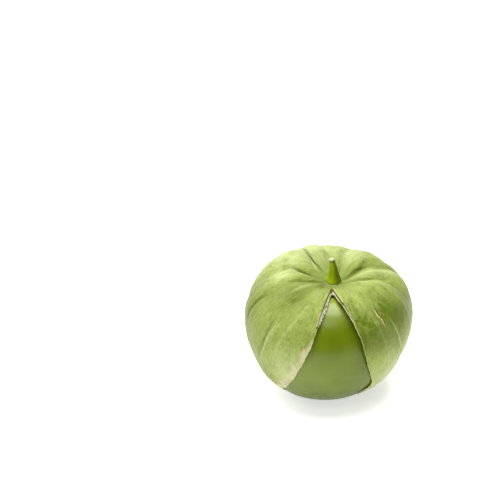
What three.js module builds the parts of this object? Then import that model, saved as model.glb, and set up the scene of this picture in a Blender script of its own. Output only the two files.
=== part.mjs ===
// A tomatillo as picked: a round fruit inside its papery husk, and the stub of stem that carries both.
// The husk is five leaf-like sepals grown together. It has split open along its front seam, from the
// stem down, and the fruit shows in the gap.
//
// Units are millimetres. In the finished group +Z is up, the split faces -Y, and the origin is the point
// of the flat spot that the fruit rests on that lies straight under the fruit's centre.
//
// The fruit and husk are drawn about the fruit's centre, in polar form: a polar angle from the stem
// (0 at the stem, 180 at the fruit's far end) and an azimuth round it (0 at the front, 90 at +X).
// All angles are in degrees.
import * as THREE from "three";
import { mergeVertices } from "three/addons/utils/BufferGeometryUtils.js";

const { degToRad, radToDeg, smoothstep } = THREE.MathUtils;

// How the fruit sits: the stem leans towards the front and a little to the right.
const LEAN_FORWARD = 5;
const LEAN_RIGHT = 5.5;
const CENTRE_HEIGHT = 21.4;

const HUSK_THICKNESS = 0.5;
const COLLAR_ANGLE = 7.3; // where the husk ends round the neck of the stem
const SPLIT_GAP = 0.4; // how far apart the edges of the split stay where they nearly meet
const SHOULDER_TURN = 8; // the husk's shoulder is this much nearer to the stem on the right
const RIB_BEND = 26; // how far round to the front the husk's ribs bend near the stem

const HUSK_COLUMNS = 84;
const HUSK_ROWS = 22;
const FRUIT_COLUMNS = 40;
const FRUIT_ROWS = 26;
const STEM_SIDES = 16;

const STEM_BEND_START = 15.5; // the stem is straight below this height above the fruit's centre
const STEM_BEND = 0.018; // how fast it bows to the left above it

// A smooth curve through [angle, value] pairs.
function curveThrough(pairs) {
  const angles = pairs.map((pair) => pair[0]);
  const values = pairs.map((pair) => pair[1]);
  const curve = new THREE.CubicInterpolant(angles, values, 1);
  return (angle) => curve.evaluate(angle)[0];
}

// Distance from the centre against polar angle.
const fruitMeridian = curveThrough([
  [0, 12.0],
  [10, 12.6],
  [20, 15.7],
  [30, 18.6],
  [40, 20.6],
  [55, 22.3],
  [75, 23.3],
  [90, 23.5],
  [105, 23.4],
  [120, 23.15],
  [130, 22.95],
  [145, 22.6],
  [180, 21.7],
]);
const huskMeridian = curveThrough([
  [0, 14.8],
  [8, 15.6],
  [14, 17.0],
  [20, 18.9],
  [30, 21.6],
  [40, 23.2],
  [60, 25.2],
  [70, 25.5],
  [80, 25.2],
  [100, 24.6],
  [120, 24.15],
  [135, 23.95],
  [150, 23.6],
  [180, 23.0],
]);

// The ten ribs of the husk run down the valleys between its pleats.
const RIBS = [
  { azimuth: -141, depth: 1.8, halfWidth: 6 },
  { azimuth: -98, depth: 1.2, halfWidth: 7 },
  { azimuth: -67, depth: 0.9, halfWidth: 7 },
  { azimuth: -38, depth: 0.9, halfWidth: 11 },
  { azimuth: -5, depth: 0.8, halfWidth: 9 },
  { azimuth: 48, depth: 0.6, halfWidth: 9 },
  { azimuth: 85, depth: 1.1, halfWidth: 7 },
  { azimuth: 127, depth: 2.0, halfWidth: 12 },
  { azimuth: 163, depth: 0.9, halfWidth: 7 },
  { azimuth: 191, depth: 0.9, halfWidth: 7 },
];
const ribStrength = curveThrough([
  [0, 0],
  [15, 0.55],
  [32, 1],
  [50, 0.85],
  [70, 0.35],
  [95, 0.1],
  [125, 0.03],
  [180, 0],
]);

// Broad places where the husk swells out, or draws in where its share is negative, and how much of that
// the fruit under it shares. A swell's width and height are arcs over the surface, in degrees.
const SWELLS = [
  { azimuth: 0, polar: 34, wide: 22, tall: 14, husk: 0, fruit: 0.35 },
  { azimuth: -140, polar: 42, wide: 26, tall: 26, husk: 0.9, fruit: 0 },
  { azimuth: -95, polar: 85, wide: 30, tall: 22, husk: -0.35, fruit: 0 },
  { azimuth: -70, polar: 114, wide: 20, tall: 18, husk: -0.6, fruit: -0.6 },
  { azimuth: -38, polar: 136, wide: 19, tall: 20, husk: 0.7, fruit: 0.65 },
  { azimuth: 62, polar: 110, wide: 44, tall: 32, husk: -1.0, fruit: -1.2 },
  { azimuth: 80, polar: 95, wide: 24, tall: 18, husk: -0.4, fruit: -0.3 },
  { azimuth: 90, polar: 78, wide: 30, tall: 14, husk: 0.35, fruit: 0 },
  { azimuth: 128, polar: 43, wide: 16, tall: 18, husk: 0.4, fruit: 0 },
  { azimuth: 158, polar: 38, wide: 16, tall: 14, husk: -0.5, fruit: 0 },
  { azimuth: 178, polar: 36, wide: 12, tall: 16, husk: -0.6, fruit: 0 },
];

// The two edges of the split, as azimuths against polar angle.
const leftEdge = curveThrough([
  [0, -6],
  [22, -6],
  [33, -7.2],
  [45, -11],
  [57, -12],
  [71, -14],
  [86, -18.5],
  [102, -24.5],
  [118, -32.5],
  [130, -38],
  [180, -40],
]);
const rightEdge = curveThrough([
  [0, -5],
  [22, -5],
  [33, 4.2],
  [45, 11.7],
  [55, 17.2],
  [67, 21.9],
  [79, 25.3],
  [95, 31.2],
  [106, 36],
  [122, 33],
  [180, 33],
]);

// The husk's lower edge: the five sepals end in tips, with notches between them.
const hem = curveThrough([
  [20, 119],
  [45, 124],
  [60, 123],
  [85, 128],
  [105, 140],
  [127, 147],
  [145, 142],
  [163, 132],
  [178, 143],
  [191, 149],
  [205, 143],
  [219, 131],
  [240, 141],
  [262, 146],
  [278, 139],
  [293, 127],
  [305, 127],
  [322, 125],
  [340, 122],
]);
const HEM_READING_ANGLE = 115; // the polar angle whose azimuth picks a column's share of the hem

function difference(azimuth, other) {
  return THREE.MathUtils.euclideanModulo(azimuth - other + 180, 360) - 180;
}

// All the swells at one place, for the husk or the fruit.
function swelling(piece, polar, azimuth) {
  return SWELLS.reduce((sum, swell) => {
    const across = (difference(azimuth, swell.azimuth) * Math.sin(degToRad(polar))) / swell.wide;
    const along = (polar - swell.polar) / swell.tall;
    return sum + swell[piece] * Math.exp(-across * across - along * along);
  }, 0);
}

function fruitRadius(polar, azimuth) {
  return fruitMeridian(polar) + swelling("fruit", polar, azimuth);
}

function huskRadius(polar, azimuth) {
  const turn = SHOULDER_TURN * smoothstep(polar, 10, 50) * Math.sin(degToRad(azimuth));
  let radius = huskMeridian(polar + turn) + swelling("husk", polar, azimuth);
  const bend = RIB_BEND * (1 - smoothstep(polar, 15, 38)) * Math.sin(degToRad(azimuth));
  for (const rib of RIBS) {
    const off = Math.abs(difference(azimuth + bend, rib.azimuth)) / rib.halfWidth;
    radius -= rib.depth * ribStrength(polar) * Math.exp(-Math.pow(off, 1.5));
  }
  return radius;
}

function fromPolar(radius, polar, azimuth) {
  const out = radius * Math.sin(degToRad(polar));
  const turn = degToRad(azimuth);
  return new THREE.Vector3(
    out * Math.sin(turn),
    -out * Math.cos(turn),
    radius * Math.cos(degToRad(polar)),
  );
}

// Moves every vertex of a closed geometry, then joins the copies that its faces keep of each one.
function reshape(geometry, move) {
  geometry.deleteAttribute("normal");
  geometry.deleteAttribute("uv");
  const places = geometry.attributes.position;
  const place = new THREE.Vector3();
  for (let i = 0; i < places.count; i++) {
    const moved = move(place.fromBufferAttribute(places, i));
    places.setXYZ(i, moved.x, moved.y, moved.z);
  }
  const joined = mergeVertices(geometry, 1e-4);
  joined.computeVertexNormals();
  return joined;
}

// The fruit is a sphere whose radius follows fruitRadius, pressed flat where it rests.
function makeFruit(downwards) {
  const sphere = new THREE.SphereGeometry(1, FRUIT_COLUMNS, FRUIT_ROWS);
  return reshape(sphere, (place) => {
    const polar = radToDeg(Math.acos(THREE.MathUtils.clamp(place.y, -1, 1)));
    const azimuth = radToDeg(Math.atan2(place.x, place.z));
    const point = fromPolar(fruitRadius(polar, azimuth), polar, azimuth);
    const tooLow = point.dot(downwards) - CENTRE_HEIGHT;
    return tooLow > 0 ? point.addScaledVector(downwards, -tooLow) : point;
  });
}

// The husk is a thin slab wrapped round the fruit: its width runs from the split's right edge round the
// back to the left edge, its height from the collar to the hem, and its depth is the husk's thickness.
function makeHusk() {
  const slab = new THREE.BoxGeometry(1, 1, 1, HUSK_COLUMNS, HUSK_ROWS, 1);
  return reshape(slab, (place) => {
    const round = place.x + 0.5;
    const down = 0.5 - place.y;
    const azimuthAt = (polar) => {
      const gap = radToDeg(SPLIT_GAP / 2 / (huskMeridian(polar) * Math.sin(degToRad(polar))));
      const right = rightEdge(polar) + gap;
      const left = leftEdge(polar) - gap;
      return right + (360 + left - right) * round;
    };
    const lowest = hem(azimuthAt(HEM_READING_ANGLE));
    const polar = COLLAR_ANGLE + (lowest - COLLAR_ANGLE) * down;
    const azimuth = azimuthAt(polar);
    const depth = (0.5 - place.z) * HUSK_THICKNESS;
    return fromPolar(huskRadius(polar, azimuth) - depth, polar, azimuth);
  });
}

// The stem is turned from a profile: the seat that carries the fruit, the neck through the husk's
// collar, the flared foot on top of it, and the stub up to the cut.
function makeStem() {
  const profile = [
    [0, 12.45],
    [1.6, 12.45],
    [2.5, 12.9],
    [2.6, 13.7],
    [1.9, 14.35],
    [1.5, 14.55],
    [1.5, 15.75],
    [2.3, 16.0],
    [2.15, 16.5],
    [1.7, 17.4],
    [1.35, 18.8],
    [1.1, 20.4],
    [0.95, 22.0],
    [0.92, 22.9],
    [0.75, 23.05],
    [0, 22.9],
  ];
  const points = profile.map(([radius, height]) => new THREE.Vector2(radius, height));
  return reshape(new THREE.LatheGeometry(points, STEM_SIDES), (place) => {
    const above = Math.max(0, place.y - STEM_BEND_START);
    return new THREE.Vector3(place.x - STEM_BEND * above * above, -place.z, place.y);
  });
}

function makePiece(name, geometry, color, roughness) {
  const material = new THREE.MeshStandardMaterial({ color, roughness, metalness: 0 });
  const mesh = new THREE.Mesh(geometry, material);
  mesh.name = name;
  return mesh;
}

// The leaning group is drawn about the fruit's centre, and stands on its flat spot.
const leaning = new THREE.Group();
leaning.rotation.set(degToRad(LEAN_FORWARD), degToRad(LEAN_RIGHT), 0, "XYZ");
leaning.position.z = CENTRE_HEIGHT;
leaning.updateMatrix();
const downwards = new THREE.Vector3(0, 0, -1).applyQuaternion(leaning.quaternion.clone().invert());

leaning.add(
  makePiece("fruit", makeFruit(downwards), 0x86a32c, 0.25),
  makePiece("husk", makeHusk(), 0xa9c063, 0.8),
  makePiece("stem", makeStem(), 0x7d960c, 0.55),
);

const tomatillo = new THREE.Group();
tomatillo.name = "tomatillo";
tomatillo.add(leaning);

export default tomatillo;
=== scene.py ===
import math
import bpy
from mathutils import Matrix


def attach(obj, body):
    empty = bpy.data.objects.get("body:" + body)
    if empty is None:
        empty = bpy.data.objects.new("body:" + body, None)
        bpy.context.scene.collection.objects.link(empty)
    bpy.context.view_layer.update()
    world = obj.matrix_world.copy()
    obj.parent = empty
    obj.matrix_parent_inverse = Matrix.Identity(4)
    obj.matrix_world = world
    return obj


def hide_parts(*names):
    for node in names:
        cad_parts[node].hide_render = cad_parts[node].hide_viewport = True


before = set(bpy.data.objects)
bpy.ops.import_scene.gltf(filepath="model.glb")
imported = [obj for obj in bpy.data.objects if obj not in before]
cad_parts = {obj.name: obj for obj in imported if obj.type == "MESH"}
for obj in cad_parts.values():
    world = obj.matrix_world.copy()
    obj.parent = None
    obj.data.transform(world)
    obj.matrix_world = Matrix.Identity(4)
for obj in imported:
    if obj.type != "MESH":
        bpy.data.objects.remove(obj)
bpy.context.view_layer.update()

from types import SimpleNamespace

import bmesh
import bpy
import numpy as np
from bpy.props import FloatProperty, FloatVectorProperty, IntProperty, PointerProperty
from mathutils import Matrix, Vector, noise

bl_info = {
    "name": "Tomatillo",
    "version": (1, 0, 0),
    "blender": (4, 5, 0),
    "location": "3D View > Sidebar > Tomatillo",
    "description": "Models a ripe tomatillo in its split papery husk",
    "category": "Object",
}

MM = 0.001

# The fruit and husk are drawn about the fruit's centre, in polar form and in millimetres: a polar angle
# from the stem and an azimuth round it (0 at the front, 90 at +X), both in degrees.


def curve_through(pairs):
    """A smooth curve through (angle, value) pairs, which takes an array of angles."""
    at, value = np.array(pairs, float).T
    slope = np.empty_like(value)
    slope[1:-1] = (value[2:] - value[:-2]) / (at[2:] - at[:-2])
    slope[0] = (value[1] - value[0]) / (at[1] - at[0])
    slope[-1] = (value[-1] - value[-2]) / (at[-1] - at[-2])

    def curve(angle):
        angle = np.clip(angle, at[0], at[-1])
        i = np.clip(np.searchsorted(at, angle) - 1, 0, len(at) - 2)
        width = at[i + 1] - at[i]
        t = (angle - at[i]) / width
        start = value[i] * (1 + 2 * t) + slope[i] * width * t
        end = value[i + 1] * (3 - 2 * t) - slope[i + 1] * width * (1 - t)
        return start * (1 - t) ** 2 + end * t**2

    return curve


def smooth(low, high, x):
    """0 below low, 1 above high, and a smooth step between. With low above high it steps down."""
    t = np.clip((x - low) / (high - low), 0, 1)
    return t * t * (3 - 2 * t)


def bell(x, middle, wide):
    """1 in the middle, and falling away smoothly on both sides."""
    return np.exp(-(((x - middle) / wide) ** 2))


def difference(azimuth, other):
    """How far one azimuth is past another, from -180 to 180."""
    return (azimuth - other + 180) % 360 - 180


# ---------------- the shapes that the pieces share

FRUIT_MERIDIAN = curve_through([
    (0, 12.0), (10, 12.7), (20, 15.9), (30, 18.8), (40, 20.8), (55, 22.4),
    (75, 23.3), (90, 23.5), (105, 23.4), (120, 23.15), (130, 22.95), (145, 22.6), (180, 21.7),
])
HUSK_MERIDIAN = curve_through([
    (0, 14.9), (8, 15.55), (14, 17.0), (20, 18.9), (30, 21.6), (40, 23.2), (60, 25.2),
    (70, 25.5), (80, 25.2), (100, 24.6), (120, 24.15), (135, 23.95), (150, 23.6), (180, 23.0),
])
SHOULDER_TURN = 8  # the husk's shoulder is this much nearer to the stem on the right

# The ten ribs of the husk run down the valleys between its pleats: azimuth, depth, and how far each
# valley's wall reaches towards lower and towards higher azimuths.
RIBS = [
    (-141, 1.9, 10, 3.0),
    (-98, 1.4, 9, 4.5),
    (-67, 0.8, 7, 7),
    (-38, 0.8, 11, 11),
    (-5, 0.8, 9, 9),
    (48, 0.6, 9, 9),
    (85, 1.1, 7, 7),
    (127, 1.9, 12, 9),
    (163, 0.8, 7, 7),
    (191, 0.8, 7, 7),
]
RIB_BEND = 26  # how far the ribs bend round to the front near the stem, in degrees
RIB_STRENGTH = curve_through([
    (0, 0), (15, 0.55), (32, 1), (50, 0.85), (70, 0.35), (95, 0.1), (125, 0.03), (180, 0),
])

# Broad places where the husk swells out or draws in, and the fruit's share of each:
# azimuth, polar angle, width and height as arcs in degrees, husk, fruit.
SWELLS = [
    (0, 34, 22, 14, 0, 0.35),
    (-140, 42, 26, 26, 0.9, 0),
    (-95, 85, 30, 22, -0.35, 0),
    (-70, 114, 20, 18, -0.6, -0.6),
    (-38, 136, 19, 20, 0.7, 0.65),
    (62, 110, 44, 32, -1.0, -1.2),
    (80, 95, 24, 18, -0.4, -0.3),
    (90, 78, 30, 14, 0.35, 0),
    (128, 43, 16, 18, 0.4, 0),
    (158, 38, 16, 14, -0.5, 0),
    (178, 36, 12, 16, -0.6, 0),
]


def swelling(share, polar, azimuth):
    """The sum of the swells: share 0 is the husk's, and 1 the fruit's."""
    total = np.zeros(np.broadcast(polar, azimuth).shape)
    for at, down, wide, tall, *shares in SWELLS:
        across = difference(azimuth, at) * np.sin(np.radians(polar)) / wide
        total += shares[share] * np.exp(-(across**2) - ((polar - down) / tall) ** 2)
    return total


def fruit_radius(polar, azimuth):
    return FRUIT_MERIDIAN(polar) + swelling(1, polar, azimuth)


def husk_radius(polar, azimuth):
    turn = SHOULDER_TURN * smooth(10, 50, polar) * np.sin(np.radians(azimuth))
    radius = HUSK_MERIDIAN(polar + turn) + swelling(0, polar, azimuth)
    # Near the stem every rib bends round to the front.
    course = azimuth + RIB_BEND * smooth(38, 15, polar) * np.sin(np.radians(azimuth))
    for at, depth, before, after in RIBS:
        off = difference(course, at)
        reach = np.where(off < 0, before, after)
        radius -= depth * RIB_STRENGTH(polar) * np.exp(-(np.abs(off / reach) ** 1.5))
    return radius


def from_polar(radius, polar, azimuth):
    """Points from the fruit's centre, as an array of rows."""
    down, turn = np.radians(polar), np.radians(azimuth)
    out = radius * np.sin(down)
    return np.stack([out * np.sin(turn), -out * np.cos(turn), radius * np.cos(down)], -1)


def noise_at(points, size, seed):
    """Soft noise between -1 and 1 at each point, with lumps of about that size."""
    shift = Vector((seed * 17.3, seed * 5.1, seed * 11.7))
    return np.array([noise.noise(Vector(p) / size + shift) for p in points])


# ---------------- settings


def length(name, millimetres, description):
    return FloatProperty(
        name=name, description=description, default=millimetres * MM, unit="LENGTH", precision=5
    )


def colour(name, rgb, description):
    return FloatVectorProperty(
        name=name, description=description, default=rgb, subtype="COLOR", size=3, min=0, max=1
    )


class TomatilloPlacing(bpy.types.PropertyGroup):
    centre_height: length("Centre height", 21.4, "Height of the fruit's centre above the surface")
    lean_forward: FloatProperty(
        name="Lean forward", description="How far the stem leans to the front",
        default=math.radians(5), subtype="ANGLE",
    )
    lean_right: FloatProperty(
        name="Lean right", description="How far the stem leans to the right",
        default=math.radians(5.5), subtype="ANGLE",
    )


class TomatilloFruit(bpy.types.PropertyGroup):
    segments: IntProperty(name="Segments", description="Faces round the fruit", default=160, min=24)
    rings: IntProperty(name="Rings", description="Faces from top to bottom", default=100, min=16)
    skin: colour("Skin", (0.115, 0.165, 0.0008), "Main colour of the skin")
    pale: colour("Pale skin", (0.145, 0.205, 0.005), "Colour of the paler clouds in the skin")
    # The crown colour is a painted highlight for the top of the fruit.
    crown_highlight: colour("Crown", (0.36, 0.45, 0.06), "Colour of the skin near the stem")


class TomatilloHusk(bpy.types.PropertyGroup):
    columns: IntProperty(name="Columns", description="Faces round the husk", default=320, min=40)
    rows: IntProperty(name="Rows", description="Faces from the collar to the hem", default=138, min=20)
    thickness: length("Thickness", 0.3, "Thickness of the papery wall")
    leaf: colour("Leaf", (0.345, 0.43, 0.085), "Main colour of the husk")
    shade: colour("Shade", (0.12, 0.16, 0.001), "Colour of its darker fibres and patches")
    vein: colour("Veins", (0.60, 0.68, 0.28), "Colour of its pale fibres and veins")
    dry: colour("Dry edge", (0.61, 0.53, 0.27), "Colour where the husk has dried")
    torn: colour("Torn edge", (0.11, 0.075, 0.0), "Colour of the brown line along the tear")
    lining: colour("Lining", (0.70, 0.70, 0.46), "Colour of the pale inner layer")


class TomatilloStem(bpy.types.PropertyGroup):
    sides: IntProperty(name="Sides", description="Faces round the stem", default=48, min=12)
    green: colour("Green", (0.41, 0.54, 0.001), "Main colour of the stem")
    cut: colour("Cut", (0.60, 0.62, 0.36), "Colour of the dry cut end")
    ring: colour("Ring", (0.07, 0.065, 0.006), "Colour of the dark ring below the cut")


class TomatilloStage(bpy.types.PropertyGroup):
    floor: colour("Floor", (0.92, 0.92, 0.92), "Colour of the floor")
    elevation: FloatProperty(
        name="View elevation", description="How far the camera looks down on the tomatillo",
        default=math.radians(32), subtype="ANGLE",
    )
    distance: length("View distance", 411, "Distance from the camera to the fruit's centre")
    aim_left: length("Aim left", 23.2, "How far left of the tomatillo the camera is aimed")
    aim_up: length("Aim up", 21.6, "How far above the tomatillo the camera is aimed")


# ---------------- helpers


def leaning():
    """The turn about the fruit's centre from the upright pieces, as drawn, to the leaning ones."""
    placing = bpy.context.scene.tomatillo_placing
    forward = Matrix.Rotation(placing.lean_forward, 3, "X")
    return forward @ Matrix.Rotation(placing.lean_right, 3, "Y")


def placed(points):
    """Points in millimetres about the fruit's centre, as metres above the surface it rests on."""
    turned = np.asarray(points) @ np.array(leaning()).T * MM
    turned[:, 2] += bpy.context.scene.tomatillo_placing.centre_height
    return turned


def piece_from(bm, name, materials, node):
    """Makes the finished bmesh a piece that stands for a CAD node and rides on the root body."""
    mesh = bpy.data.meshes.new(name)
    bm.to_mesh(mesh)
    bm.free()
    for material in materials:
        mesh.materials.append(material)
    mesh.shade_smooth()
    piece = bpy.data.objects.new(name, mesh)
    bpy.context.scene.collection.objects.link(piece)
    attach(piece, "root")
    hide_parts(node)
    return piece


def lay_out(bm, points, marks):
    """Moves the mesh's corners to the points, and keeps each mark as an attribute of that name."""
    layers = [bm.verts.layers.float.new(name) for name in marks]
    for vert, point, *amounts in zip(bm.verts, points, *marks.values()):
        vert.co = point
        for layer, amount in zip(layers, amounts):
            vert[layer] = amount


def add(tree, kind, inputs=(), **settings):
    """A shader node of that kind. Its inputs are given as values, or as sockets to link to them."""
    made = tree.nodes.new("ShaderNode" + kind)
    for name, value in settings.items():
        setattr(made, name, value)
    for key, value in dict(inputs).items():
        if isinstance(value, bpy.types.NodeSocket):
            tree.links.new(value, made.inputs[key])
        else:
            made.inputs[key].default_value = value
    return made


def new_material(name):
    """An empty node tree with its output, and the material it belongs to."""
    material = bpy.data.materials.new(name)
    material.use_nodes = True
    tree = material.node_tree
    tree.nodes.clear()
    return material, tree


SOCKETS = {"specular_ior_level": "Specular IOR Level", "ior": "IOR"}


def shade(tree, colour, bump=None, **values):
    """Ends a material with a Principled shader."""
    shader = add(tree, "BsdfPrincipled", {"Base Color": colour})
    for name, value in values.items():
        socket = shader.inputs[SOCKETS.get(name) or name.replace("_", " ").title()]
        if isinstance(value, bpy.types.NodeSocket):
            tree.links.new(value, socket)
        else:
            socket.default_value = value
    if bump is not None:
        tree.links.new(bump, shader.inputs["Normal"])
    output = add(tree, "OutputMaterial")
    tree.links.new(shader.outputs[0], output.inputs["Surface"])


def mix(tree, share, first, second):
    """A colour between two others."""
    made = add(tree, "Mix", data_type="RGBA")
    for socket, value in ((0, share), (6, first), (7, second)):
        if isinstance(value, bpy.types.NodeSocket):
            tree.links.new(value, made.inputs[socket])
        elif socket == 0:
            made.inputs[0].default_value = value
        else:
            made.inputs[socket].default_value = (*value, 1)
    return made.outputs[2]


def maths(tree, operation, first, second):
    return add(tree, "Math", {0: first, 1: second}, operation=operation).outputs[0]


def times(tree, first, second):
    return maths(tree, "MULTIPLY", first, second)


def plus(tree, first, second):
    return maths(tree, "ADD", first, second)


def centred(tree, field):
    """A cloud, moved to lie about 0."""
    return plus(tree, field, -0.5)


def painted(tree, colour, share, strength, over):
    """The colour with another laid over it, where the share is above 0."""
    return mix(tree, times(tree, share, strength), colour, over)


def step(tree, value, low, high):
    """0 below low, 1 above high."""
    made = add(tree, "MapRange", {0: value, 1: low, 2: high}, interpolation_type="SMOOTHSTEP")
    return made.outputs[0]


def cloud(tree, place, size, detail=3.0, roughness=0.5, distortion=0.0, seed=0.0):
    """Noise between 0 and 1 at a place given in millimetres, with lumps of about that size."""
    moved = add(tree, "Mapping", {"Vector": place, "Location": (seed, seed * 2, seed * 3)})
    made = add(tree, "TexNoise", {
        "Vector": moved.outputs[0], "Scale": 1 / size, "Detail": detail,
        "Roughness": roughness, "Distortion": distortion,
    })
    return made.outputs[0]


def attribute(tree, name, output="Fac"):
    return add(tree, "Attribute", attribute_name=name).outputs[output]


def scaled(tree, place, factors):
    return add(tree, "Mapping", {"Vector": place, "Scale": factors}).outputs[0]


def in_millimetres(tree):
    """The place on the piece, in millimetres."""
    return scaled(tree, add(tree, "TexCoord").outputs["Object"], (1000, 1000, 1000))


def net_of(tree, grain, stretch, scale, wide):
    """Thin threads between the cells of a net that is stretched along the grain."""
    net = add(tree, "TexVoronoi", {
        "Vector": scaled(tree, grain, (1, 1, stretch)), "Scale": scale, "Randomness": 1.0,
    }, feature="DISTANCE_TO_EDGE")
    return step(tree, net.outputs["Distance"], wide, 0.0)


# ---------------- the fruit


# Painted shade: the skin is darkened towards this colour underneath, near the floor.
UNDERSIDE_SHADE = (0.05, 0.08, 0.0)  # the colour that the skin turns towards underneath
SPECK_COLOUR = (0.03, 0.04, 0.0)
# Small dark specks on the skin: azimuth, polar angle, size in millimetres.
SPECKS = [
    (26.3, 85, 0.28), (24.2, 88, 0.2), (27.8, 104.5, 0.24), (14, 113, 0.16), (22, 106, 0.15),
    (-4, 60, 0.1), (-22.2, 99, 0.28), (-17, 92, 0.12), (16, 76, 0.1), (-12, 110, 0.14),
]


def fruit_skin():
    """Waxy and glossy, with faint clouds and freckles."""
    values = bpy.context.scene.tomatillo_fruit
    material, tree = new_material("fruit_skin")
    place = in_millimetres(tree)
    clouds = step(tree, cloud(tree, place, 7, detail=4), 0.35, 0.75)
    colour = mix(tree, clouds, values.skin, values.pale)
    dots = add(tree, "TexVoronoi", {"Vector": place, "Scale": 0.7, "Randomness": 1.0})
    colour = painted(tree, colour, step(tree, dots.outputs["Distance"], 0.16, 0.06), 0.35, values.pale)
    # Painted highlight: the skin is painted palest towards the top, where light falls, and painted shade
    # darkens it a little underneath.
    colour = painted(tree, colour, attribute(tree, "crown_highlight"), 0.6, values.crown_highlight)
    colour = painted(tree, colour, attribute(tree, "shade_below"), 0.25, UNDERSIDE_SHADE)
    speck = step(tree, attribute(tree, "speck"), 1.4, 0.7)
    colour = painted(tree, colour, speck, 0.9, SPECK_COLOUR)
    height = cloud(tree, place, 1.3, detail=2)
    bump = add(tree, "Bump", {"Strength": 0.03, "Distance": 0.0003, "Height": height})
    shade(
        tree, colour, bump.outputs[0],
        roughness=0.25, ior=1.4,
        subsurface_weight=0.15, subsurface_radius=(0.8, 1.0, 0.2), subsurface_scale=0.002,
    )
    return material


def distance_from_specks(points):
    """How far each point is from the nearest speck, in sizes of that speck."""
    nearest_speck = np.full(len(points), 9.0)
    for at, down, size in SPECKS:
        spot = from_polar(fruit_radius(down, at), down, at)
        # Its middle is moved to the nearest corner of the mesh, so that it isn't lost between them.
        spot = points[np.argmin(np.linalg.norm(points - spot, axis=1))]
        nearest_speck = np.minimum(nearest_speck, np.linalg.norm(points - spot, axis=1) / size)
    return nearest_speck


class TOMATILLO_OT_fruit(bpy.types.Operator):
    """Model the fruit: a sphere drawn to its own outline and pressed flat where it rests"""

    bl_idname = "tomatillo.fruit"
    bl_label = "Fruit"

    def execute(self, context):
        values = context.scene.tomatillo_fruit
        bm = bmesh.new()
        bmesh.ops.create_uvsphere(bm, u_segments=values.segments, v_segments=values.rings, radius=1)
        unit = np.array([v.co for v in bm.verts])
        polar = np.degrees(np.arccos(np.clip(unit[:, 2], -1, 1)))
        azimuth = np.degrees(np.arctan2(unit[:, 0], -unit[:, 1]))
        radius = fruit_radius(polar, azimuth)
        radius += 0.08 * noise_at(unit, 0.35, 3)
        points = from_polar(radius, polar, azimuth)
        specks = distance_from_specks(points)
        points = placed(points)
        points[:, 2] = np.maximum(points[:, 2], 0)
        # Painted highlight at the top, and painted light on the left cheek, laid into the skin as its
        # crown mark.
        cheek_light = 0.35 * bell(azimuth, -14, 18) * bell(polar, 92, 15)
        painted_highlights = np.maximum(smooth(60, 36, polar), cheek_light)
        lay_out(bm, points, {"speck": specks, "crown_highlight": painted_highlights, "shade_below": smooth(95, 130, polar)})
        bmesh.ops.recalc_face_normals(bm, faces=bm.faces)
        piece_from(bm, "tomatillo_fruit", [fruit_skin()], "fruit")
        return {"FINISHED"}


# ---------------- the husk

COLLAR = 7.3  # the polar angle at which the husk ends round the neck of the stem
TEAR_TOP = 21.2  # where the tear begins
ARCH_TOP = 29.5  # where the tear's lining opens, in an arch over the fruit
ARCH_FALL = 2.2  # how much further down the arch has its full width

# The tear's two brown lines, as azimuths against polar angle.
LEFT_TEAR = curve_through([
    (7, -6), (22, -6), (33, -8.2), (45, -11), (57, -12), (71, -14),
    (86, -18.5), (102, -24.5), (118, -32.5), (130, -38), (180, -40),
])
RIGHT_TEAR = curve_through([
    (7, -5), (22, -4.5), (33, 4.2), (45, 11.7), (55, 17.2), (67, 21.9),
    (79, 25.3), (95, 31.2), (106, 36.5), (116, 37.5), (124, 32), (132, 25), (180, 20),
])
# How far the pale lining reaches past each of them, in millimetres.
LEFT_LINING = curve_through([
    (22, 0.3), (33, 0.45), (38, 0.75), (41, 0.85), (46, 0.9), (50, 0.75), (54, 0.5), (58, 0.15),
    (62, 0.08),
])
RIGHT_LINING = curve_through([(22, 0.3), (33, 0.5), (37, 0.45), (40, 0.2), (43, 0.08)])

# The polar angle of the husk's lower edge against azimuth, from the tear's right side round to its left.
HEM = curve_through([
    (20, 131), (30, 127), (36, 124), (45, 124), (60, 123), (85, 128), (105, 140), (127, 147),
    (145, 142), (163, 132), (178, 143), (191, 149), (205, 143), (219, 131), (240, 141),
    (262, 146), (278, 139), (293, 127), (305, 127), (322, 127), (340, 124),
])
HEM_MIDDLE = 125  # the rows are spaced for this polar angle, and fan out to the hem lower down
HEM_START, HEM_END = 34, 327  # the azimuths at which the rows take the hem's height, at its two corners
CLEARANCE = 0.45  # how far the husk stays outside the fruit's surface, in millimetres
GRAIN_RADIUS, GRAIN_HEIGHT = 22.0, 23  # the cylinder on which the grain of the paper is laid out
MOTTLE_COLOUR = (0.105, 0.165, 0.0)
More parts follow.
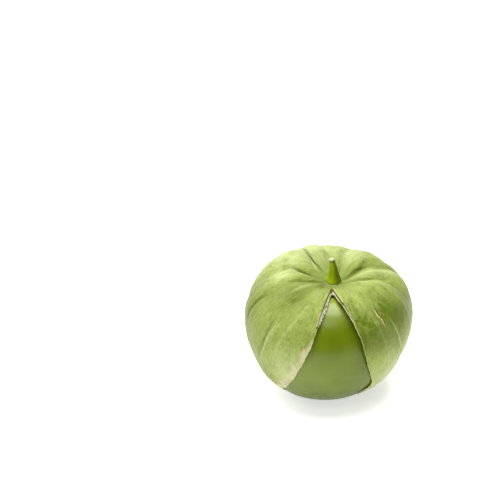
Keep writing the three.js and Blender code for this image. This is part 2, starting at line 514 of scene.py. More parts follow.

# Fine raised or sunken lines on the husk: (azimuth, polar angle) points from end to end, height in
# millimetres, half-width in millimetres, and how pale (or, below 0, how dark) the line is. The paleness
# along raised lines is painted highlight and the darkness along sunken lines painted shade; the long
# faint lines round the husk are pale veins.
LINES = [
    ([(-42, 58), (-46, 70), (-50, 82), (-54, 97), (-56, 108)], -0.10, 0.45, -0.7),
    ([(-39.5, 58), (-43.5, 70), (-47.5, 82), (-51.5, 97)], 0.10, 0.5, 0.5),
    ([(49.5, 57), (50.5, 61), (53.8, 71), (56.5, 80), (57, 90), (56, 102)], 0.12, 0.4, 0.3),
    ([(-73, 58), (-74, 68), (-73, 80)], -0.2, 0.45, -0.8),
    ([(-129, 15.5), (-131, 20.5), (-135.5, 26), (-140.5, 32), (-145, 39), (-148, 47)], -0.4, 0.4, -0.7),
    ([(-124, 18), (-130, 26), (-136.5, 32), (-140, 39)], 0.3, 0.35, 0.8),
    ([(-66, 18), (-80, 22), (-90, 27.5), (-97, 32), (-106, 39)], -0.2, 0.55, -0.6),
    ([(-63, 18), (-70, 22), (-78, 27), (-87, 31), (-96, 38)], 0.2, 0.5, 0.6),
    ([(106, 15), (110, 18), (114, 24), (119, 33), (124, 42)], -0.3, 0.8, -0.9),
    ([(80, 17), (88, 22), (92, 29), (96, 38), (99, 46)], 0.25, 0.8, 0.9),
    ([(94, 36), (98, 44), (101, 52), (102, 60)], 0.35, 1.0, 0.5),
    ([(130, 34), (128, 42), (124, 50), (121, 60)], 0.55, 2.6, 0),
    ([(104, 34), (108, 42), (111, 50), (112, 60)], -0.6, 1.1, -0.5),
    ([(68, 20), (72, 27), (80, 34), (89, 42)], -0.2, 0.5, -0.7),
    ([(58, 20), (63, 29), (74, 39), (82, 50)], 0.15, 0.6, 0.6),
    ([(-48, 18), (-56, 24), (-66, 32), (-74, 42)], -0.2, 0.5, -0.7),
    ([(-40, 18), (-44, 26), (-50, 36), (-56, 48)], 0.15, 0.6, 0.4),
    ([(165, 16), (166, 24), (168, 34), (169, 44)], -0.3, 0.6, -0.5),
    ([(-168, 16), (-167, 26), (-166, 40)], -0.2, 0.6, -0.5),
    ([(-20, 30), (-27, 48), (-34, 68), (-41, 92)], 0.06, 0.5, 0.35),
    ([(24, 30), (33, 48), (40, 70), (46, 95)], 0.06, 0.5, 0.25),
    ([(70, 25), (72, 50), (73, 80), (72, 110)], 0.08, 0.5, 0.3),
    ([(106, 25), (108, 50), (108, 80), (106, 120)], 0.08, 0.5, 0.4),
    ([(145, 22), (146, 50), (146, 85), (145, 128)], 0.10, 0.5, 0.5),
    ([(176, 22), (177, 50), (178, 90), (178, 134)], 0.10, 0.5, 0.5),
    ([(205, 22), (205, 50), (205, 90), (205, 134)], 0.10, 0.5, 0.5),
    ([(240, 25), (240, 55), (241, 90), (241, 132)], 0.10, 0.5, 0.5),
    ([(278, 25), (278, 55), (279, 90), (279, 130)], 0.08, 0.5, 0.3),
]
# Sharp creases: their courses, strength and half-width in millimetres. Besides their relief, their dark
# lines are painted shade in the folds.
CREASES = [
    ([(-129, 15.5), (-130, 19), (-132, 22.6), (-138.8, 30), (-143, 36), (-146, 42), (-148, 48)],
     0.9, 0.17),
    ([(-62, 17), (-70, 19.5), (-82, 22.5), (-91, 28), (-101, 35)], 0.45, 0.32),
    ([(105, 14), (110, 18), (114, 24), (118, 30)], 0.6, 0.4),
    ([(-46.5, 62), (-48, 72), (-49, 84), (-54, 100)], 0.45, 0.3),
    ([(-71, 54), (-72.6, 62), (-74.2, 73), (-73, 84)], 0.65, 0.6),
    ([(69, 19), (73, 26), (81, 34), (90, 42)], 0.35, 0.35),
    ([(-46, 17), (-54, 24), (-64, 32)], 0.35, 0.4),
]
# Thin pale veins, in the same way.
VEINS = [
    ([(49.5, 57), (50.5, 61), (53.8, 71), (56.5, 80), (57, 90), (56, 102)], 0.7, 0.13),
    ([(-124, 20), (-131.5, 27), (-137.5, 33), (-141, 40)], 0.8, 0.2),
    ([(-43.5, 60), (-45.5, 72), (-48, 84), (-52, 98)], 0.35, 0.2),
]
# The pale scar on the right, and how far beside it the brown scab lies, in degrees.
SCAR = [(37.4, 44), (38.9, 48), (39.4, 52), (41.4, 55), (42.2, 60), (44.2, 63)]
SCAB_OFFSET = 1.15

# Patches where the husk is paler or, below 0, darker: azimuth, polar angle, width and height as arcs in
# degrees, and how much. Besides the husk's own uneven tone they paint shade, in the valleys, near the
# stem and on its left and right sides, and paint light, as highlights on the top-left and as floor
# bounce low on the right.
PATCHES = [
    (-80, 82, 26, 38, -0.6),
    (-42, 25, 11, 9, -0.42),
    (-52, 41, 15, 8, -0.5),
    (-10, 20, 16, 8, -0.45),
    (113, 25, 6, 9, -0.5),
    (120, 41, 8, 8, -0.55),
    (36, 52, 20, 10, -0.32),
    (52, 52, 10, 10, -0.45),
    (28, 68, 12, 12, -0.45),
    (46, 68, 20, 11, -0.55),
    (80, 60, 12, 14, -0.4),
    (108, 34, 6, 6, -0.6),
    (-45, 112, 14, 8, -0.4),
    (47, 108, 11, 11, 0.35),
    (60, 60, 12, 12, -0.4),
    (96, 66, 10, 16, -0.25),
    (76, 58, 12, 16, -0.3),
    (18, 62, 7, 16, -0.5),
    (-25, 66, 18, 12, -0.35),
    (-52, 48, 20, 12, -0.3),
    (62, 102, 28, 18, 0.38),
    (-30, 96, 12, 26, 0.4),
    (-100, 42, 26, 9, 0.5),
    (-86, 42, 9, 8, 0.45),
    (-90, 29, 5, 6, -0.2),
    (-103, 42, 11, 4, -0.45),
    (-70, 32, 6, 5, -0.2),
    (-92, 76, 12, 20, -0.4),
    (-150, 40, 30, 20, 0.3),
    (96, 36, 7, 14, 0.3),
    (140, 34, 14, 10, 0.3),
]


def along(points, here):
    """Distance in millimetres from a line on the surface, and how far along it from 0 to 1."""
    at = np.array(points, float)
    down = np.clip(here.polar, at[0, 1], at[-1, 1])
    line = np.interp(down, at[:, 1], at[:, 0])
    across = np.radians(difference(here.azimuth, line)) * np.sin(np.radians(here.polar)) * here.radius
    past = np.radians(here.polar - down) * here.radius
    return np.hypot(across, past), (down - at[0, 1]) / (at[-1, 1] - at[0, 1])


def nearest(courses, here):
    """Distance from the nearest of the courses, in its half-widths, and its strength there."""
    shortest = np.full(len(here.polar), 6.0)
    strongest = np.zeros(len(here.polar))
    for course, strength, wide in courses:
        away, how_far = along(course, here)
        nearer = away / wide < shortest
        shortest = np.where(nearer, away / wide, shortest)
        ends = np.sin(np.pi * np.clip(how_far, 0.03, 0.97)) ** 0.5
        strongest = np.where(nearer & (away < 4), strength * ends, strongest)
    return shortest, strongest


def paper_fields(tree, place, grain):
    """The clouds and threads that the husk's colour and relief share."""

    def along_grain(stretch, size, distortion, seed=0.0):
        return cloud(tree, scaled(tree, grain, (1, 1, stretch)), size, 5, 0.7, distortion, seed)

    return SimpleNamespace(
        fibres=along_grain(0.55, 0.7, 0.5),
        broad=along_grain(0.6, 2.2, 0.4, seed=5),
        frayed=along_grain(0.4, 1.3, 0.0),
        wrinkles=along_grain(0.18, 1.4, 0.4, seed=7),
        patches=cloud(tree, place, 5.5, detail=4, roughness=0.6, seed=9),
        blotches=cloud(tree, place, 1.7, detail=4, roughness=0.65, distortion=0.8, seed=2),
        ragged=cloud(tree, place, 0.55, detail=4, roughness=0.75, seed=4),
        threads=net_of(tree, grain, 0.65, 0.95, 0.12),
    )


def paper_ground(tree, fields, values):
    """Green paper with darker and paler fibres, its mottles, and its patches, which hold the paper's own
    tone together with painted shade and painted highlights.
    """
    colour = painted(tree, values.leaf, step(tree, fields.broad, 0.5, 0.3), 0.52, values.shade)
    colour = painted(tree, colour, step(tree, fields.patches, 0.5, 0.28), 0.44, values.shade)
    colour = painted(tree, colour, step(tree, fields.fibres, 0.5, 0.3), 0.42, values.shade)
    colour = painted(tree, colour, step(tree, fields.fibres, 0.52, 0.72), 0.5, values.vein)
    colour = painted(tree, colour, fields.threads, 0.16, values.vein)

    # Painted shade and painted highlights: this mark darkens the paper towards the shade colour and
    # pales it towards the veins' colour, along with its own uneven tone.
    tone_light_and_shade = attribute(tree, "tone_light_and_shade")
    uneven = plus(tree, times(tree, centred(tree, fields.patches), 1.2), 1.0)
    colour = painted(tree, colour, times(tree, tone_light_and_shade, -1), uneven, values.shade)
    colour = painted(tree, colour, tone_light_and_shade, uneven, mix(tree, 0.4, values.vein, values.lining))
    mottle = times(tree, attribute(tree, "mottle"), step(tree, fields.blotches, 0.45, 0.55))
    return painted(tree, colour, mottle, 0.92, MOTTLE_COLOUR)


def paper_lines(tree, colour, crease, values):
    """The colour with its ribs, veins and creases: painted highlights and painted shade along the raised
    and sunken lines, pale veins, and painted shade in the creases.
    """
    line = attribute(tree, "line")
    # Painted highlight along the raised lines and painted shade in the sunken ones.
    colour = painted(tree, colour, line, 0.6, values.vein)
    colour = painted(tree, colour, line, -0.6, values.shade)
    vein = step(tree, attribute(tree, "vein"), 2.0, 0.4)
    colour = painted(tree, colour, vein, attribute(tree, "clear"), values.vein)
    # Painted shade: the creases are darkened towards the shade and torn colours.
    return mix(tree, crease, colour, mix(tree, 0.2, values.shade, values.torn))


def paper_edges(tree, fields, colour, values):
    """The colour with its dried and torn places, which are ragged."""
    around = centred(tree, fields.ragged)
    dry = plus(tree, attribute(tree, "dry"), times(tree, centred(tree, fields.frayed), 2.0))
    leafy = mix(tree, 0.2, values.lining, values.leaf)
    streaks = mix(tree, step(tree, fields.broad, 0.4, 0.6), values.dry, leafy)
    colour = painted(tree, colour, step(tree, dry, 0.3, 0.95), 0.92, streaks)
    scar = plus(tree, attribute(tree, "scar"), around)
    colour = mix(tree, step(tree, scar, 0.4, 0.9), colour, values.dry)
    rough_lining = mix(tree, step(tree, fields.ragged, 0.37, 0.52), values.torn, values.lining)
    colour = mix(tree, attribute(tree, "lining"), colour, rough_lining)
    torn = plus(tree, attribute(tree, "torn"), times(tree, around, 0.5))
    colour = mix(tree, step(tree, torn, 0.4, 0.8), colour, values.torn)
    rim = plus(tree, attribute(tree, "rim"), times(tree, around, 0.3))
    return mix(tree, step(tree, rim, 0.4, 0.8), colour, mix(tree, 0.45, values.dry, values.vein))


def paper_relief(tree, fields, crease):
    """The height of the fine relief."""
    rough_lining = times(tree, attribute(tree, "lining"), fields.ragged)
    height = times(tree, crease, -1.5)
    for field, amount in (
        (fields.fibres, 0.5), (fields.threads, 0.12), (fields.wrinkles, 1.2),
        (fields.broad, 1.2), (rough_lining, 2.0),
    ):
        height = plus(tree, height, times(tree, field, amount))
    return height


def husk_paper():
    """The husk's outer face. Its marks come from the mesh, and are roughened here."""
    values = bpy.context.scene.tomatillo_husk
    material, tree = new_material("husk_paper")
    fields = paper_fields(tree, in_millimetres(tree), attribute(tree, "grain", "Vector"))
    crease = times(tree, step(tree, attribute(tree, "crease"), 2.0, 0.2), attribute(tree, "sharp"))
    colour = paper_ground(tree, fields, values)
    colour = paper_lines(tree, colour, crease, values)
    colour = paper_edges(tree, fields, colour, values)
    height = paper_relief(tree, fields, crease)
    bump = add(tree, "Bump", {"Strength": 0.8, "Distance": 0.0005, "Height": height})
    shade(
        tree, colour, bump.outputs[0],
        roughness=0.5, specular_ior_level=0.2, sheen_weight=0.12, sheen_roughness=0.3,
        subsurface_weight=0.12, subsurface_radius=(0.6, 0.8, 0.2), subsurface_scale=0.001,
    )
    return material


def husk_lining():
    """The husk's inner face: paler, with a net of veins."""
    values = bpy.context.scene.tomatillo_husk
    material, tree = new_material("husk_lining")
    grain = attribute(tree, "grain", "Vector")
    threads = net_of(tree, grain, 0.45, 0.6, 0.1)
    fibres = cloud(tree, scaled(tree, grain, (1, 1, 0.2)), 0.9, detail=4)
    colour = mix(tree, fibres, values.shade, values.leaf)
    colour = painted(tree, colour, threads, 0.5, values.vein)
    bump = add(tree, "Bump", {"Strength": 0.4, "Distance": 0.0003, "Height": threads})
    shade(tree, colour, bump.outputs[0], roughness=0.6)
    return material


def husk_cut():
    """The husk's thin torn edge, dry and pale."""
    values = bpy.context.scene.tomatillo_husk
    material, tree = new_material("husk_cut")
    fibres = cloud(tree, in_millimetres(tree), 0.5, detail=3, roughness=0.7)
    colour = mix(tree, step(tree, fibres, 0.35, 0.6), values.dry, values.vein)
    colour = mix(tree, step(tree, attribute(tree, "torn"), 0.4, 0.7), colour, values.torn)
    shade(tree, colour, roughness=0.7)
    return material


def wobble(polar, start):
    """How far a torn edge strays from its course, in degrees of azimuth."""
    stray = 0.17 * np.sin(polar * 0.45 + start)
    stray += 0.12 * np.sin(polar * 1.3 + 2 * start)
    stray += 0.06 * np.sin(polar * 2.9 + start)
    return stray * smooth(26, 40, polar)


def hem_at(azimuth):
    """The hem's polar angle at azimuths from the tear's right side round to its left."""
    return HEM(np.clip(azimuth, 20, 340))


def free_edges(polar, left, right, per_degree):
    """The azimuths of the lining's free edges, which meet where the arch over the fruit is closed."""
    seam = (left + right) / 2
    opening = np.sqrt(1 - (1 - np.clip((polar - ARCH_TOP) / ARCH_FALL, 0, 1)) ** 2)
    ragged = LEFT_LINING(polar) * (1 + 0.16 * np.sin(polar * 4.1) + 0.12 * np.sin(polar * 2.3 + 1))
    left_free = seam + (left + ragged / per_degree - seam) * opening
    right_free = seam + (right - RIGHT_LINING(polar) / per_degree - seam) * opening
    return left_free, right_free


def husk_places(across, down):
    """Where each corner of the husk's sheet lies, and how far that is from the tear and the hem.
    across runs from 0 at the tear's right side round the back to 1 at its left side, and down from 0 at
    the collar to 1 at the hem."""
    # Columns lie closer together near the tear, where the husk has its finest shapes.
    share = across - 0.5 * np.sin(2 * np.pi * across) / (2 * np.pi)
    level = COLLAR + (HEM_MIDDLE - COLLAR) * down
    hem = HEM(HEM_START + (HEM_END - HEM_START) * share)
    polar = level + (hem - HEM_MIDDLE) * smooth(0.35, 1, down)
    per_degree = np.radians(1) * HUSK_MERIDIAN(polar) * np.sin(np.radians(polar))

    left = LEFT_TEAR(polar) + wobble(polar, 1.0)
    right = RIGHT_TEAR(polar) + wobble(polar, 3.7)
    left_free, right_free = free_edges(polar, left, right, per_degree)
    azimuth = right_free + (360 + left_free - right_free) * share
    radius = husk_radius(polar, azimuth)
    to_right = (azimuth - right) * per_degree
    to_left = (360 + left - azimuth) * per_degree
    to_tear = np.minimum(to_right, to_left)
    below = smooth(TEAR_TOP - 1, TEAR_TOP + 2, polar)
    return SimpleNamespace(
        polar=polar, azimuth=azimuth, radius=radius,
        to_right=to_right, to_left=to_left, to_tear=to_tear, left_side=to_left < to_right,
        to_hem=(hem_at(azimuth) - polar) * np.radians(1) * radius,
        below=below, upper=below * smooth(64, 57, polar), sunk=smooth(0.06, -0.24, to_tear),
    )


def crinkle(here):
    """Broad lumps, radial wrinkles near the stem, and finer crinkles."""
    points = from_polar(here.radius, here.polar, here.azimuth)
    lumps = 0.22 * noise_at(points, 7, 1) + 0.09 * noise_at(points, 2.6, 2)
    ring = from_polar(np.full(len(points), 1.0), np.full(len(points), 90.0), here.azimuth)
    ring[:, 2] = here.polar / 60
    wrinkles = noise_at(ring, 0.16, 4) * 0.4 * smooth(9, 18, here.polar) * smooth(64, 24, here.polar)
    wrinkles += noise_at(ring, 0.08, 5) * 0.16 * smooth(10, 22, here.polar) * smooth(90, 40, here.polar)
    here.radius = here.radius + lumps * smooth(8, 25, here.polar) + wrinkles


def shape_edges(here):
    """The lining lies deeper than the torn skin, which stands up in a thin bead along the tear."""
    deep = 0.32 + 0.45 * smooth(ARCH_TOP + 0.5, ARCH_TOP - 3, here.polar)
    here.radius -= here.sunk * here.upper * deep
    here.radius += 0.16 * here.below * bell(here.to_tear, 0.28, 0.24)
    # Lower down the edges draw in towards the fruit.
    here.radius -= 0.55 * smooth(52, 78, here.polar) * bell(np.maximum(here.to_tear, 0), 0, 4)
    here.radius -= 0.35 * bell(np.maximum(here.to_hem, 0), 0, 2.5)


def draw_lines(here):
    """Raise and sink the fine lines, and give the marks that follow a course."""
    line = np.zeros(len(here.polar))
    for course, height, wide, pale in LINES:
        away, how_far = along(course, here)
        ends = np.sin(np.pi * np.clip(how_far, 0.06, 0.94)) ** 0.6
        strength = bell(away, 0, wide) * ends
        here.radius += height * strength
        # This mark carries painted highlight and painted shade as well as the pale veins.
        line += pale * strength
    away, how_far = along(SCAR, here)
    scar = smooth(0.34, 0.08, away) * np.sin(np.pi * np.clip(how_far, 0.06, 0.94)) ** 0.5
    crease, sharp = nearest(CREASES, here)
    vein, clear = nearest(VEINS, here)
    here.radius -= 0.12 * scar
    return {"line": line, "scar": scar, "crease": crease, "sharp": sharp, "vein": vein, "clear": clear}


def tear_marks(here):
    """Where the paper is torn and brown, is darkened by painted shade in the hollow, shows its lining,
    and has its pale rim.
    """
    polar, to_left, to_right = here.polar, here.to_left, here.to_right
    # Brown along the tear's upper part, more on the left, and fainter lower down on the right.
    brown = bell(here.to_tear, np.where(here.left_side, 0.08, 0), 0.2) * here.below
    left_part = smooth(63, 55, polar) * (1 - 0.2 * smooth(43, 49, polar))
    torn = 1.1 * brown * np.where(here.left_side, left_part, smooth(43, 37, polar))
    torn += 0.8 * bell(to_right, 0.38, 0.3) * smooth(36, 39, polar) * smooth(56, 49, polar)
    # The hollow above the arch is dark, as brown membrane with painted shade in the recess, but for a
    # pale tatter on its right.
    left_hollow = smooth(ARCH_TOP + 0.3, ARCH_TOP - 0.5, polar)
    hollow = np.where(here.left_side, left_hollow, smooth(26.5, 25, polar))
    hollow = 1.3 * here.sunk * here.below * hollow
    # A knot and a spot on the left, crumbs at the lower corners, and the scab beside the scar.
    knot = bell(polar, 57.5, 1.0) * bell(to_left, 0.2, 0.55)
    spot = 0.62 * bell(polar, 69.5, 2.4) * bell(to_left, 0.55, 0.3)
    crumbs = 0.95 * bell(polar, 120.5, 3.5) * smooth(1.1, 0.4, to_left)
    crumbs += 0.62 * bell(polar, 119, 3) * bell(to_left, 3.6, 1.6)
    crumbs += 0.75 * bell(polar, 121, 4) * bell(to_right, 0.5, 0.8)
    course = [(azimuth + SCAB_OFFSET, down) for azimuth, down in SCAR]
    away, how_far = along(course, here)
    scab = 0.8 * smooth(0.36, 0.08, away) * smooth(0, 0.2, how_far) * smooth(1, 0.75, how_far)

    whitish = bell(polar, 111.5, 3.2) * smooth(1.7, 0.7, to_left)
    rim = 0.95 * np.exp(-((here.to_tear / 0.14) ** 4)) * smooth(40, 50, polar)
    rim *= np.where(here.left_side, smooth(56, 60, polar), 1)
    upper_rim = 0.75 * np.exp(-(((to_right - 0.36) / 0.17) ** 4))
    upper_rim *= smooth(20.5, 22.5, polar) * smooth(42, 37, polar)
    rim = np.maximum.reduce([rim, upper_rim, smooth(0.3, 0.1, here.to_hem)])
    return {
        "torn": np.maximum.reduce([torn, hollow, knot, spot, crumbs, scab]),
        "lining": np.maximum(here.sunk * here.upper, 0.85 * whitish),
        "rim": rim * (1 - np.minimum(crumbs, 1)),
    }


def broad_marks(here):
    """Where the paper has dried and is mottled, and where it is paler or darker, by its own tone and by
    painted shade and painted highlights.
    """
    polar, to_left, to_right = here.polar, here.to_left, here.to_right
    band = 0.95 * smooth(0.07 * polar - 1.7, 0.2, to_left) * smooth(60, 74, polar)
    corner = 1.3 * smooth(4.5, 1.5, np.hypot(to_right, (polar - 117) * 0.36))
    flush = 0.45 * smooth(1.4, 0.1, to_left) * smooth(40, 46, polar) * smooth(70, 56, polar)
    rust = 0.75 * smooth(1.1, 0.3, to_right) * smooth(36, 40, polar) * smooth(60, 50, polar)
    hem = 0.8 * smooth(1.6, 0.2, here.to_hem)
    beside_tear = difference(here.azimuth, 17 + (polar - 44) * 0.85)
    mottle = 1.7 * bell(beside_tear, 0, 9) * bell(polar, 56, 12)
    mottle += 1.4 * bell(difference(here.azimuth, 49), 0, 8) * bell(polar, 50, 7)
    tone_light_and_shade = np.zeros(len(polar))
    for azimuth, down, wide, tall, amount in PATCHES:
        across = difference(here.azimuth, azimuth) * np.sin(np.radians(polar))
        tone_light_and_shade += amount * bell(across, 0, wide) * bell(polar, down, tall)
    return {"dry": np.maximum.reduce([band, corner, flush, rust, hem]), "mottle": mottle, "tone_light_and_shade": tone_light_and_shade}


def husk_surface(across, down):
    """The husk's surface as points, the grain of its paper, and its marks."""
    here = husk_places(across, down)
    crinkle(here)
    shape_edges(here)
    marks = draw_lines(here)
    here.radius = np.maximum(here.radius, fruit_radius(here.polar, here.azimuth) + CLEARANCE)
    marks.update(tear_marks(here))
    marks.update(broad_marks(here))
    count = len(here.polar)
    grain = from_polar(np.full(count, GRAIN_RADIUS), np.full(count, 90.0), here.azimuth)
    grain[:, 2] = np.radians(here.polar) * GRAIN_HEIGHT
    return from_polar(here.radius, here.polar, here.azimuth), grain, marks


class TOMATILLO_OT_husk(bpy.types.Operator):
    """Model the husk: one papery sheet, drawn round the fruit from one side of the tear to the other"""

    bl_idname = "tomatillo.husk"
    bl_label = "Husk"

    def execute(self, context):
        values = context.scene.tomatillo_husk
        bm = bmesh.new()
        bmesh.ops.create_grid(bm, x_segments=values.columns, y_segments=values.rows, size=0.5)
        flat = np.array([v.co for v in bm.verts])
        points, grain, marks = husk_surface(flat[:, 0] + 0.5, 0.5 - flat[:, 1])
        lay_out(bm, placed(points), marks)
        grain_layer = bm.verts.layers.float_vector.new("grain")
        for vert, course in zip(bm.verts, grain):
            vert[grain_layer] = course
        bmesh.ops.remove_doubles(bm, verts=bm.verts, dist=1e-7)
        bmesh.ops.recalc_face_normals(bm, faces=bm.faces)
        self.face_outwards(bm)
        materials = [husk_paper(), husk_lining(), husk_cut()]
        piece = piece_from(bm, "tomatillo_husk", materials, "husk")
        wall = piece.modifiers.new("wall", "SOLIDIFY")
        wall.thickness = values.thickness
        wall.offset = -1
        wall.material_offset = 1
        wall.material_offset_rim = 2
        return {"FINISHED"}

    @staticmethod
    def face_outwards(bm):
        centre = Vector((0, 0, bpy.context.scene.tomatillo_placing.centre_height))
        outwards = sum((f.calc_center_median() - centre).dot(f.normal) > 0 for f in bm.faces)
        if outwards < len(bm.faces) / 2:
            bmesh.ops.reverse_faces(bm, faces=bm.faces)


# ---------------- the stem

# Half of the stem's outline, from the seat that carries the fruit, up through the husk's collar to the
# cut: distance from its middle and height above the fruit's centre, in millimetres.
STEM_OUTLINE = [
    (0, 12.45), (1.6, 12.45), (2.5, 12.9), (2.6, 13.7), (1.9, 14.35), (1.5, 14.6), (1.5, 15.1),
    (2.15, 15.25), (2.25, 15.5), (2.18, 15.8), (1.98, 16.3), (1.75, 16.9), (1.52, 17.7), (1.3, 18.7),
    (1.12, 19.8), (0.98, 21.0), (0.87, 22.1), (0.82, 22.6), (0.78, 22.85), (0.6, 23.0),
    (0.3, 22.92), (0, 22.85),
]
# From this height on it bends to the left, by this much for each square millimetre of height.
STEM_BEND_START = 15.5
STEM_BEND = 0.024


def stem_skin():
    """Green and fibrous, with painted shade on its right, and a dark ring below its dry cut end."""
    values = bpy.context.scene.tomatillo_stem
    material, tree = new_material("stem_green")
    place = in_millimetres(tree)
    fibres = cloud(tree, scaled(tree, place, (1, 1, 0.15)), 0.35, detail=4, roughness=0.6)
    paler = mix(tree, 0.5, values.green, values.cut)
    colour = painted(tree, values.green, step(tree, fibres, 0.45, 0.75), 0.3, paler)
    ragged = times(tree, centred(tree, cloud(tree, place, 0.5, seed=3)), 0.7)
    height = plus(tree, attribute(tree, "height"), ragged)
    colour = painted(tree, colour, step(tree, height, 22.1, 22.35), 0.85, values.ring)
    colour = mix(tree, step(tree, height, 22.42, 22.6), colour, values.cut)
    foot = step(tree, attribute(tree, "height"), 16.1, 15.4)
    colour = painted(tree, colour, foot, 0.35, bpy.context.scene.tomatillo_husk.leaf)
    # Painted shade: the stem's right side is darkened towards the ring's colour.
    colour = painted(tree, colour, step(tree, attribute(tree, "side"), -0.4, 0.7), 0.78, values.ring)
    bump = add(tree, "Bump", {"Strength": 0.25, "Distance": 0.0002, "Height": fibres})
    shade(
        tree, colour, bump.outputs[0],
        roughness=0.55, specular_ior_level=0.12,
        subsurface_weight=0.1, subsurface_radius=(0.6, 0.8, 0.1), subsurface_scale=0.001,
    )
    return material


class TOMATILLO_OT_stem(bpy.types.Operator):
    """Model the stem: its outline spun round, then ribbed and bent"""

    bl_idname = "tomatillo.stem"
    bl_label = "Stem"

    def execute(self, context):
        values = context.scene.tomatillo_stem
        bm = bmesh.new()
        outline = [bm.verts.new((radius, 0, height)) for radius, height in STEM_OUTLINE]
        edges = [bm.edges.new(pair) for pair in zip(outline, outline[1:])]
        bmesh.ops.spin(
            bm, geom=outline + edges, cent=(0, 0, 0), axis=(0, 0, 1), dvec=(0, 0, 0),
            angle=2 * math.pi, steps=values.sides, use_merge=True,
        )
        bmesh.ops.remove_doubles(bm, verts=bm.verts, dist=1e-5)
        points, marks = [], {"height": [], "side": []}
        for vert in bm.verts:
            x, y, z = vert.co
            turn = math.atan2(y, x)
            marks["height"].append(z)
            # The side mark leads the painted shade on the stem's right.
            marks["side"].append(math.cos(turn) if math.hypot(x, y) > 0.5 and z < 22.7 else 0)
            rib = 0.035 * math.cos(5 * turn + 0.8) + 0.015 * math.cos(11 * turn)
            swell = 1 + rib * smooth(15.4, 17, z) * (1 + 0.6 * smooth(22, 23, z))
            flare = 0.045 * smooth(18.5, 16, z) * abs(math.cos(turn)) * smooth(15.0, 15.6, z)
            bend = STEM_BEND * max(0, z - STEM_BEND_START) ** 2
            tip = 0.12 * smooth(22.5, 23, z) * math.sin(turn + 2)
            points.append((x * (swell + flare) - bend, y * swell, z + tip))
        lay_out(bm, placed(points), marks)
        bmesh.ops.recalc_face_normals(bm, faces=bm.faces)
        piece = piece_from(bm, "tomatillo_stem", [stem_skin()], "stem")
        rounding = piece.modifiers.new("rounding", "SUBSURF")
        rounding.levels = rounding.render_levels = 1
        return {"FINISHED"}


# ---------------- the stage

FLOOR_GLOW = 0.32  # how much the floor glows for the light that it gives
FLOOR_GLOW_SEEN = 0.62  # and how much where the camera sees it
FLOOR_REACH = 1.7  # how far it reaches to each side, in metres
TABLE_END = -0.28  # the floor that lies further to the front than this isn't mirrored in the fruit


def plain(name, colour, roughness, glow):
    """A plain finish, lit a little from within, as the top of a light table is."""
    material, tree = new_material(name)
    shade(
        tree, (*colour, 1), roughness=roughness, specular_ior_level=0.1,
        emission_color=(1, 1, 1, 1), emission_strength=glow,
    )
    return material


def softbox(name, place, target, size, power):
    light = bpy.data.lights.new(name, "AREA")
    light.shape = "RECTANGLE"
    light.size, light.size_y = size
    light.energy = power
    lamp = bpy.data.objects.new(name, light)
    bpy.context.scene.collection.objects.link(lamp)
    lamp.location = place
    lamp.rotation_mode = "QUATERNION"
    lamp.rotation_quaternion = (Vector(target) - Vector(place)).to_track_quat("-Z", "Y")


def sheet_of_floor(name, low, high, material):
    bm = bmesh.new()
    bmesh.ops.create_grid(bm, x_segments=1, y_segments=1, size=0.5)
    for vert in bm.verts:
        vert.co = (
            low[0] + (high[0] - low[0]) * (vert.co.x + 0.5),
            low[1] + (high[1] - low[1]) * (vert.co.y + 0.5),
            0,
        )
    mesh = bpy.data.meshes.new(name)
    bm.to_mesh(mesh)
    bm.free()
    mesh.materials.append(material)
    made = bpy.data.objects.new(name, mesh)
    bpy.context.scene.collection.objects.link(made)
    return made


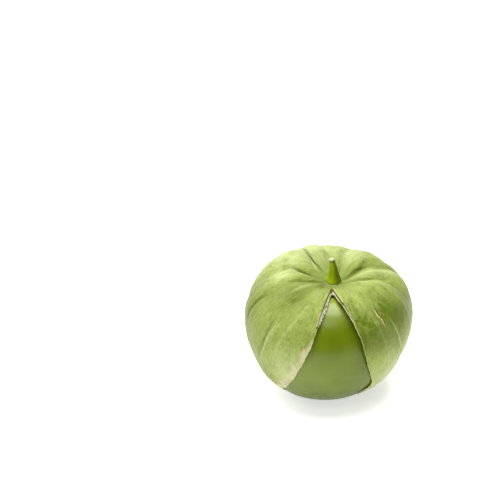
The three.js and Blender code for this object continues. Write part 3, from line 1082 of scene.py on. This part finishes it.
class TOMATILLO_OT_stage(bpy.types.Operator):
    """Set the stage: a pale floor, soft studio light and the camera"""

    bl_idname = "tomatillo.stage"
    bl_label = "Stage"

    def execute(self, context):
        values = context.scene.tomatillo_stage
        material = plain("floor_white", values.floor, 0.6, glow=FLOOR_GLOW)
        self.brighten_for_camera(material)
        far = FLOOR_REACH
        sheet_of_floor("floor", (-far, TABLE_END), (far, far), material)
        apron = sheet_of_floor("floor_apron", (-far, -far), (far, TABLE_END), material)
        apron.visible_glossy = False

        middle = (0, 0, context.scene.tomatillo_placing.centre_height)
        softbox("overhead", (0.0, -0.02, 1.5), middle, (1.0, 1.15), 33)
        softbox("overhead_front", (-0.1, -1.0, 1.35), middle, (0.9, 0.45), 4)
        softbox("backdrop", (-1.1, 1.7, 1.1), middle, (2.2, 1.6), 44)
        self.make_world(context)
        self.make_camera(context, values, Vector(middle))
        context.scene.view_settings.view_transform = "Standard"
        return {"FINISHED"}

    @staticmethod
    def brighten_for_camera(material):
        """Let the floor glow more where the camera sees it, without giving more light."""
        tree = material.node_tree
        path = add(tree, "LightPath")
        more = times(tree, path.outputs["Is Camera Ray"], FLOOR_GLOW_SEEN - FLOOR_GLOW)
        surface = tree.nodes["Principled BSDF"]
        tree.links.new(plus(tree, more, FLOOR_GLOW), surface.inputs["Emission Strength"])

    @staticmethod
    def make_world(context):
        """White where the camera sees past the floor, and dim for the light that it gives."""
        world = bpy.data.worlds.new("studio")
        world.use_nodes = True
        tree = world.node_tree
        tree.nodes.clear()
        seen = add(tree, "Background", {"Color": (1, 1, 1, 1), "Strength": 1.0})
        lit = add(tree, "Background", {"Color": (1, 1, 1, 1), "Strength": 0.06})
        path = add(tree, "LightPath")
        both = add(tree, "MixShader", {
            0: path.outputs["Is Camera Ray"], 1: lit.outputs[0], 2: seen.outputs[0],
        })
        output = add(tree, "OutputWorld")
        tree.links.new(both.outputs[0], output.inputs["Surface"])
        context.scene.world = world

    @staticmethod
    def make_camera(context, values, middle):
        data = bpy.data.cameras.new("camera")
        data.lens = 100
        data.clip_start, data.clip_end = 0.01, 20
        camera = bpy.data.objects.new("camera", data)
        context.scene.collection.objects.link(camera)
        towards = Vector((0, math.cos(values.elevation), -math.sin(values.elevation)))
        up = Vector((0, math.sin(values.elevation), math.cos(values.elevation)))
        camera.location = middle - towards * values.distance
        aim = middle + up * values.aim_up - Vector((values.aim_left, 0, 0))
        # It is first pointed straight at the tomatillo, and then swung the shortest way to its aim.
        swing = towards.rotation_difference(aim - camera.location)
        camera.rotation_mode = "QUATERNION"
        camera.rotation_quaternion = swing @ towards.to_track_quat("-Z", "Y")
        context.scene.camera = camera


# ---------------- the add-on


class TOMATILLO_PT_panel(bpy.types.Panel):
    """Lists the pieces of the tomatillo with their settings"""

    bl_label = "Tomatillo"
    bl_idname = "TOMATILLO_PT_panel"
    bl_space_type = "VIEW_3D"
    bl_region_type = "UI"
    bl_category = "Tomatillo"

    def draw(self, context):
        for name, group, operator in STEPS:
            box = self.layout.box()
            box.label(text=name)
            settings = getattr(context.scene, group)
            for key in settings.bl_rna.properties.keys():
                if key not in ("rna_type", "name"):
                    box.prop(settings, key)
            if operator:
                box.operator(operator)


GROUPS = {
    "tomatillo_placing": TomatilloPlacing,
    "tomatillo_fruit": TomatilloFruit,
    "tomatillo_husk": TomatilloHusk,
    "tomatillo_stem": TomatilloStem,
    "tomatillo_stage": TomatilloStage,
}
STEPS = [
    ("Placing", "tomatillo_placing", None),
    ("Stage", "tomatillo_stage", "tomatillo.stage"),
    ("Fruit", "tomatillo_fruit", "tomatillo.fruit"),
    ("Husk", "tomatillo_husk", "tomatillo.husk"),
    ("Stem", "tomatillo_stem", "tomatillo.stem"),
]
CLASSES = (
    *GROUPS.values(),
    TOMATILLO_OT_stage,
    TOMATILLO_OT_fruit,
    TOMATILLO_OT_husk,
    TOMATILLO_OT_stem,
    TOMATILLO_PT_panel,
)


def register():
    for made in CLASSES:
        bpy.utils.register_class(made)
    for name, group in GROUPS.items():
        setattr(bpy.types.Scene, name, PointerProperty(type=group))


def unregister():
    for name in GROUPS:
        delattr(bpy.types.Scene, name)
    for made in reversed(CLASSES):
        bpy.utils.unregister_class(made)


def main():
    register()
    bpy.ops.tomatillo.stage()
    bpy.ops.tomatillo.fruit()
    bpy.ops.tomatillo.husk()
    bpy.ops.tomatillo.stem()
    bpy.context.view_layer.update()


if __name__ == "__main__":
    main()
